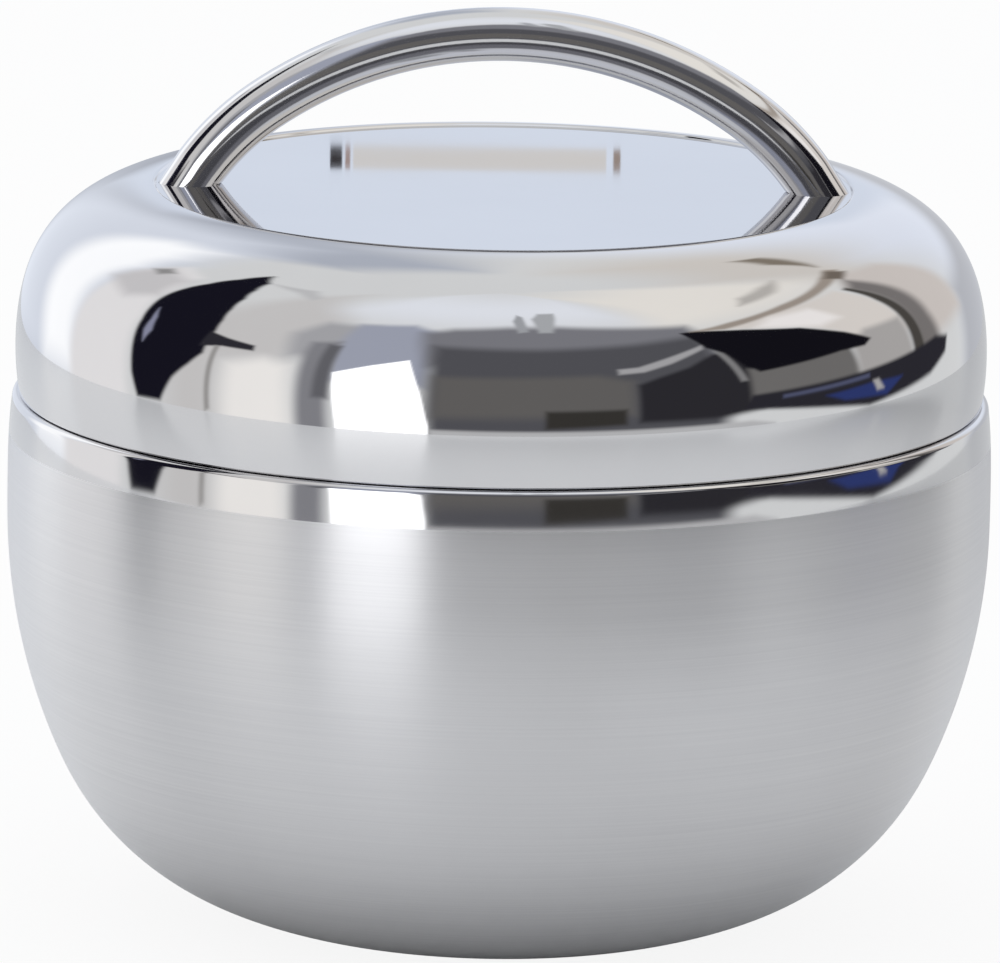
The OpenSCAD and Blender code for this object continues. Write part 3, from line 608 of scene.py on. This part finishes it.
# ---------------------------------------------------------------------------
# Bowl liner
# The food bowl inside, drawn from the same sheet to the same curves, and
# spun-brushed. Its flange is welded to the shell all round the rim.
# ---------------------------------------------------------------------------
satin_liner = brushed_steel("spun_brushed_stainless_liner", "#d8d8da", "#c6c6c9", 0.28, 0.7)
FOAM_T = 8.0
MOUTH_BEND_R = 2.0
liner_off = SHEET + FOAM_T
liner_out_r = BOWL_R - liner_off
liner_in_r = liner_out_r - SHEET
liner_line = pressed_line((0, liner_off * sin(UNDER_TURN)), FACES_DOWN, [
    (0, FACES_DOWN, base_r - liner_off * cos(UNDER_TURN)),
    (BASE_EDGE_R, -UNDER_TURN, 0),
    (UNDER_R - liner_off, -KNUCKLE_TURN, 0),
    (KNUCKLE_R - liner_off, -SIDE_TURN, 0),
    (SIDE_R - liner_off, 0, wall_h + BAND_H - SHEET - MOUTH_BEND_R),
    (-MOUTH_BEND_R, FACES_DOWN, weld_r - liner_out_r - MOUTH_BEND_R)])
bowl_liner = spun("bowl_liner_brushed", closed_section(liner_line, SHEET), satin_liner)
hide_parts("bowl_liner")
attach(bowl_liner, "bowl")

# ---------------------------------------------------------------------------
# Lid shell
# Pressed from one disc of stainless sheet and buffed to a mirror. The flat top
# is stamped down by 0.6 mm, and a narrow ring keeps the flat's shading level.
# ---------------------------------------------------------------------------
mirror_lid = buffed_steel("mirror_buffed_stainless_lid", "#dadadc", "#d0d0d3", 0.02, 0.02)
SEAT_GAP, LID_SETBACK = 0.3, 1.5
LID_Z = BOWL_H + SEAT_GAP
LID_R = BOWL_R - LID_SETBACK
LID_SIDE_R, LID_TUCK_TURN, LID_SIDE_TURN = 66.0, 7.8, 13.5
LID_SHOULDER_R, LID_SHOULDER_TURN = 27.0, 68.0
CROWN_R, CROWN_TURN = 41.9, 85.0
LID_EDGE_BEND_R, LID_EDGE_RUN, LID_SEAT_W = 0.7, 0.902, 3.84
SEAT_TURN = FACES_DOWN - 3.0
DISH_BEND_R, DISH_ROOT_R = 0.85, 0.3
DISH_WALL_TURN, DISH_WALL_L = 50.0, 0.25
FLAT_RING_W = 0.3
LID_EASE, LID_EVERY = 14.0, 2
DOME_STEP, DISH_STEP = 1.0, 8.0
edge_bend_x = (LID_R - LID_SIDE_R + (LID_SIDE_R - LID_EDGE_BEND_R) * cos(LID_TUCK_TURN)
               - LID_EDGE_RUN * sin(LID_TUCK_TURN))
seat_in_r = edge_bend_x + LID_EDGE_BEND_R * cos(SEAT_TURN) + LID_SEAT_W * sin(SEAT_TURN)
dish_edge_r = (LID_R - LID_SIDE_R + (LID_SIDE_R - LID_SHOULDER_R) * cos(LID_SIDE_TURN)
               + LID_SHOULDER_R * cos(LID_SHOULDER_TURN) - CROWN_R * (cos(LID_SHOULDER_TURN) - cos(CROWN_TURN)))
edge_line = pressed_line((seat_in_r, LID_Z), SEAT_TURN, [
    (0, SEAT_TURN, LID_SEAT_W), (LID_EDGE_BEND_R, -LID_TUCK_TURN, LID_EDGE_RUN)])
dome_line = pressed_line(edge_line[-1][:2], -LID_TUCK_TURN, [
    (LID_SIDE_R, LID_SIDE_TURN, 0), (LID_SHOULDER_R, LID_SHOULDER_TURN, 0), (CROWN_R, CROWN_TURN, 0)], DOME_STEP)
dish_flat_r = (dish_edge_r - DISH_BEND_R * (cos(CROWN_TURN) + sin(DISH_WALL_TURN)) - DISH_WALL_L * cos(DISH_WALL_TURN)
               - DISH_ROOT_R * sin(DISH_WALL_TURN))
dish_line = pressed_line(dome_line[-1][:2], CROWN_TURN, [
    (DISH_BEND_R, FACES_UP + DISH_WALL_TURN, DISH_WALL_L), (-DISH_ROOT_R, FACES_UP, FLAT_RING_W),
    (0, FACES_UP, dish_flat_r - FLAT_RING_W)], DISH_STEP)
dish_z = dish_line[-1][1]
lid_line = edge_line + eased(dome_line, LID_EASE, LID_EVERY)[1:] + dish_line[1:]
lid_shell = spun("lid_shell_mirror", closed_section(lid_line, SHEET), mirror_lid)
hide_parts("lid_shell")
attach(lid_shell, "lid")

# ---------------------------------------------------------------------------
# Lid pan
# A shallow pan of the same sheet that closes the lid from below and plugs the
# mouth. Its flange lies on the lid's seat, inside, and is spot-welded there.
# ---------------------------------------------------------------------------
satin_pan = brushed_steel("spun_brushed_stainless_pan", "#d8d8da", "#c6c6c9", 0.26, 0.7)
PLUG_GAP, PAN_DEPTH, PAN_LAP_W = 1.9, 14.0, 2.3
PAN_CORNER_R, PAN_BEND_R, PAN_DOME_TURN = 5.0, 1.5, 3.5
PAN_STEP = 1.75
pan_r = liner_in_r - PLUG_GAP
pan_dome_r = (pan_r - PAN_CORNER_R) / sin(PAN_DOME_TURN) - PAN_CORNER_R
pan_floor_z = LID_Z - PAN_DEPTH + (PAN_CORNER_R + pan_dome_r) * (1 - cos(PAN_DOME_TURN))
pan_line = pressed_line((0, pan_floor_z), FACES_DOWN, [
    (-pan_dome_r, FACES_DOWN - PAN_DOME_TURN, 0),
    (PAN_CORNER_R, 0, PAN_DEPTH + SHEET - PAN_BEND_R - PAN_CORNER_R),
    (-PAN_BEND_R, FACES_DOWN, seat_in_r + PAN_LAP_W - pan_r - PAN_BEND_R)], PAN_STEP)
lid_pan = spun("lid_pan_brushed", closed_section(pan_line, SHEET), satin_pan)
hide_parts("lid_pan")
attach(lid_pan, "lid")

# ---------------------------------------------------------------------------
# Lid gasket
# A moulded silicone ring with two soft lips, stretched over the plug wall.
# It seals against the liner and keeps the lid from rattling.
# ---------------------------------------------------------------------------
# Milky silicone: soft, a little dusty, with a dull shine.
DUST_MM = 5.556
silicone, tree = new_material("milky_silicone")
object_place = add(tree, "ShaderNodeTexCoord")
dust = add(tree, "ShaderNodeTexNoise",
           {"Vector": object_place.outputs["Object"], "Scale": 1 / (DUST_MM * MM), "Detail": 3.0})
tone = add(tree, "ShaderNodeMix", {"Factor": dust.outputs["Fac"], 6: linear("#d6d6d0"), 7: linear("#e2e2dd")},
           data_type="RGBA")
rubber = add(tree, "ShaderNodeBsdfPrincipled", {"Base Color": tone.outputs[2], "Roughness": 0.42, "IOR": 1.41})
add(tree, "ShaderNodeOutputMaterial", {"Surface": rubber.outputs[0]})
GASKET_H, GASKET_BAND_T, GASKET_DROP, GASKET_CLEAR = 6.0, 0.8, 1.0, 0.3
GASKET_LIP_H, LIP_SLOPE, LIP_STEP = 1.2, 0.4, 30
gasket_mid_z = LID_Z + SHEET - PAN_BEND_R - GASKET_DROP - GASKET_H / 2
band_r = pan_r + GASKET_BAND_T
lip_r = liner_in_r - GASKET_CLEAR
lip_z = GASKET_H / 2 - GASKET_LIP_H
tip = GASKET_LIP_H / 4
lip_outline = []
for side in (-1, 1):
    lip = [(band_r, side * GASKET_H / 2), (lip_r - tip, side * (lip_z + GASKET_LIP_H / 2 + tip * LIP_SLOPE))]
    lip += [(lip_r - tip + tip * sin(a), side * (lip_z + tip + tip * cos(a))) for a in range(0, 181, LIP_STEP)]
    lip += [(band_r, side * (lip_z - GASKET_LIP_H / 2))]
    lip_outline += lip if side < 0 else lip[::-1]
gasket_section = [(pan_r, -GASKET_H / 2)] + lip_outline + [(pan_r, GASKET_H / 2)]
lid_gasket = spun("lid_gasket_silicone", [(r, z + gasket_mid_z, 0) for r, z in gasket_section], silicone)
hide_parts("lid_gasket")
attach(lid_gasket, "lid")

# ---------------------------------------------------------------------------
# Handle
# A 12 mm stainless tube, bent to an arch, cut flat at both feet and buffed.
# It stands on the dish and is pulled down by a screw inside each foot.
# ---------------------------------------------------------------------------
mirror_tube = buffed_steel("mirror_buffed_stainless_tube", "#dcdcde", "#d2d2d5", 0.06)
TUBE_R, TUBE_WALL = 6.0, 1.0
HANDLE_RISE, LEG_R, TOP_TURN = 34.7, 59.5, 35.0
FOOT_ROOM, FOOT_HALF_SHARE = 0.15, 0.6
TOP_STEPS, LEG_STEPS, FOOT_GAP_TURN = 20, 28, 4.5
FOOT_EDGE_ANGLE = 50
foot_x = dish_flat_r - FOOT_ROOM - 2 * TUBE_R * FOOT_HALF_SHARE
arch_a = 2 * (1 - cos(TOP_TURN))
arch_b = 2 * ((LEG_R - HANDLE_RISE) * (1 - cos(TOP_TURN)) - foot_x * sin(TOP_TURN))
arch_c = foot_x ** 2 + (LEG_R - HANDLE_RISE) ** 2 - LEG_R ** 2
arch_d = (-arch_b - math.sqrt(arch_b ** 2 - 4 * arch_a * arch_c)) / (2 * arch_a)
top_r = LEG_R + arch_d
top_mid_z = dish_z + HANDLE_RISE - top_r
leg_mid_x, leg_mid_z = arch_d * sin(TOP_TURN), top_mid_z + arch_d * cos(TOP_TURN)
foot_turn = math.degrees(math.acos((foot_x - leg_mid_x) / LEG_R))
foot_sink = math.copysign(1, dish_z - leg_mid_z) * foot_turn
last_turn = 90 - foot_sink
half_arch = []
for i in range(TOP_STEPS + 1):
    t = TOP_TURN * i / TOP_STEPS
    half_arch.append((top_r * sin(t), top_mid_z + top_r * cos(t), t))
leg_turns = [TOP_TURN + (last_turn - FOOT_GAP_TURN - TOP_TURN) * i / LEG_STEPS for i in range(1, LEG_STEPS + 1)]
for t in leg_turns + [last_turn]:
    half_arch.append((leg_mid_x + LEG_R * sin(t), leg_mid_z + LEG_R * cos(t), t))
arch = [(-x, z, -t) for x, z, t in half_arch[:0:-1]] + half_arch


def sweeping_tree():
    """Sweeps a ring along points that carry a radius and a lean, and cuts its feet level."""
    tree, given = new_tree("bent_tube", "Tube", [
        ("Middle line", "NodeSocketGeometry", None), ("Steps round", "NodeSocketInt", 64),
        ("Foot height", "NodeSocketFloat", 0.0), ("Weld distance", "NodeSocketFloat", 1e-6),
        ("Finish", "NodeSocketMaterial", None)])
    surface, taken, east, north = ring_grid(
        tree, given.outputs["Middle line"], given.outputs["Steps round"],
        [("place", "FLOAT_VECTOR"), ("outward", "FLOAT_VECTOR"), ("onward", "FLOAT_VECTOR"),
         ("ring_radius", "FLOAT"), ("foot", "FLOAT"), ("along", "FLOAT")])
    out_part = add(tree, "ShaderNodeVectorMath", {0: taken["outward"], "Scale": east}, operation="SCALE")
    side_part = add(tree, "ShaderNodeCombineXYZ", {"Y": north})
    spoke = add(tree, "ShaderNodeVectorMath", {0: out_part.outputs[0], 1: side_part.outputs[0]}, operation="ADD")
    reach = add(tree, "ShaderNodeVectorMath", {0: spoke.outputs[0], "Scale": taken["ring_radius"]}, operation="SCALE")
    spot = add(tree, "ShaderNodeVectorMath", {0: taken["place"], 1: reach.outputs[0]}, operation="ADD")
    spot_parts = add(tree, "ShaderNodeSeparateXYZ", {0: spot.outputs[0]})
    onward_parts = add(tree, "ShaderNodeSeparateXYZ", {0: taken["onward"]})
    short = add(tree, "ShaderNodeMath", {0: given.outputs["Foot height"], 1: spot_parts.outputs["Z"]},
                operation="SUBTRACT")
    slide = add(tree, "ShaderNodeMath", {0: short.outputs[0], 1: onward_parts.outputs["Z"]}, operation="DIVIDE")
    slide_here = add(tree, "ShaderNodeMath", {0: slide.outputs[0], 1: taken["foot"]}, operation="MULTIPLY")
    shift = add(tree, "ShaderNodeVectorMath", {0: taken["onward"], "Scale": slide_here.outputs[0]}, operation="SCALE")
    final = add(tree, "ShaderNodeVectorMath", {0: spot.outputs[0], 1: shift.outputs[0]}, operation="ADD")
    add(tree, "NodeGroupOutput", {"Tube": welded_surface(tree, given, surface, final.outputs[0])})
    return tree


BENT_TUBE = sweeping_tree()
rings = [(x, z, t, TUBE_R) for x, z, t in arch] + [(x, z, t, TUBE_R - TUBE_WALL) for x, z, t in arch[::-1]]
tube_mesh = bpy.data.meshes.new("handle_middle_line")
tube_mesh.from_pydata([(x * MM, 0, z * MM) for x, z, _, _ in rings],
                      [(i, (i + 1) % len(rings)) for i in range(len(rings))], [])
for name in ("outward", "onward"):
    tube_mesh.attributes.new(name, "FLOAT_VECTOR", "POINT")
for name in ("ring_radius", "foot", "along"):
    tube_mesh.attributes.new(name, "FLOAT", "POINT")
travelled = 0.0
for i, (x, z, t, radius) in enumerate(rings):
    if i:
        travelled += math.hypot(x - rings[i - 1][0], z - rings[i - 1][1]) * MM
    tube_mesh.attributes["outward"].data[i].vector = (sin(t), 0, cos(t))
    tube_mesh.attributes["onward"].data[i].vector = (cos(t), 0, -sin(t))
    tube_mesh.attributes["ring_radius"].data[i].value = radius * MM
    tube_mesh.attributes["foot"].data[i].value = 1.0 if abs(abs(t) - last_turn) < 1e-6 else 0.0
    tube_mesh.attributes["along"].data[i].value = travelled
handle = run_tree("handle_tube_mirror", tube_mesh, BENT_TUBE,
                  {"Foot height": dish_z * MM, "Finish": mirror_tube}, FOOT_EDGE_ANGLE)
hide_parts("handle_tube")
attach(handle, "lid")

# ---------------------------------------------------------------------------
# Foam, plug and fasteners
# These stay as the CAD has them: poured polyurethane foam in both walls, a
# moulded plug under the bowl, and steel inserts, plates, washers and screws.
# ---------------------------------------------------------------------------
# Poured polyurethane foam: pale yellow and matt, with small cells.
CELL_MM = 0.9
foam, tree = new_material("poured_polyurethane_foam")
object_place = add(tree, "ShaderNodeTexCoord")
cells = add(tree, "ShaderNodeTexVoronoi", {"Vector": object_place.outputs["Object"], "Scale": 1 / (CELL_MM * MM)})
tone = add(tree, "ShaderNodeMix", {"Factor": cells.outputs["Distance"], 6: linear("#e8d9a4"), 7: linear("#cdb878")},
           data_type="RGBA")
dents = add(tree, "ShaderNodeBump", {"Height": cells.outputs["Distance"], "Strength": 0.5, "Distance": 0.3 * MM})
solid_foam = add(tree, "ShaderNodeBsdfPrincipled",
                 {"Base Color": tone.outputs[2], "Roughness": 0.9, "Normal": dents.outputs[0]})
add(tree, "ShaderNodeOutputMaterial", {"Surface": solid_foam.outputs[0]})

# Moulded black polyethylene: a dull, finely grained skin.
SKIN_GRAIN_MM = 0.8
moulded, tree = new_material("moulded_black_polyethylene")
object_place = add(tree, "ShaderNodeTexCoord")
grain = add(tree, "ShaderNodeTexNoise",
            {"Vector": object_place.outputs["Object"], "Scale": 1 / (SKIN_GRAIN_MM * MM), "Detail": 2.0})
tone = add(tree, "ShaderNodeMix", {"Factor": grain.outputs["Fac"], 6: linear("#1d1d1f"), 7: linear("#29292b")},
           data_type="RGBA")
fine = add(tree, "ShaderNodeBump", {"Height": grain.outputs["Fac"], "Strength": 0.2, "Distance": 0.05 * MM})
plastic = add(tree, "ShaderNodeBsdfPrincipled",
              {"Base Color": tone.outputs[2], "Roughness": 0.5, "IOR": 1.51, "Normal": fine.outputs[0]})
add(tree, "ShaderNodeOutputMaterial", {"Surface": plastic.outputs[0]})

# Turned and stamped stainless: grey, with small uneven tool marks in its shine.
TOOL_MARK_MM = 0.6
turned, tree = new_material("turned_stainless_fasteners")
object_place = add(tree, "ShaderNodeTexCoord")
marks = add(tree, "ShaderNodeTexNoise",
            {"Vector": object_place.outputs["Object"], "Scale": 1 / (TOOL_MARK_MM * MM), "Detail": 3.0})
tone = add(tree, "ShaderNodeMix", {"Factor": marks.outputs["Fac"], 6: linear("#a8a8aa"), 7: linear("#c4c4c6")},
           data_type="RGBA")
uneven = add(tree, "ShaderNodeMapRange", {"Value": marks.outputs["Fac"], "To Min": 0.28, "To Max": 0.42})
steel = add(tree, "ShaderNodeBsdfPrincipled",
            {"Base Color": tone.outputs[2], "Metallic": 1.0, "Roughness": uneven.outputs[0]})
add(tree, "ShaderNodeOutputMaterial", {"Surface": steel.outputs[0]})

for node_name, finish in (("bowl_foam", foam), ("lid_foam", foam), ("fill_plug", moulded),
                          ("tube_insert_left", turned), ("tube_insert_right", turned),
                          ("backing_plates", turned), ("handle_washers", turned), ("handle_screws", turned)):
    node_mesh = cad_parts[node_name].data
    node_mesh.materials.clear()
    node_mesh.materials.append(finish)
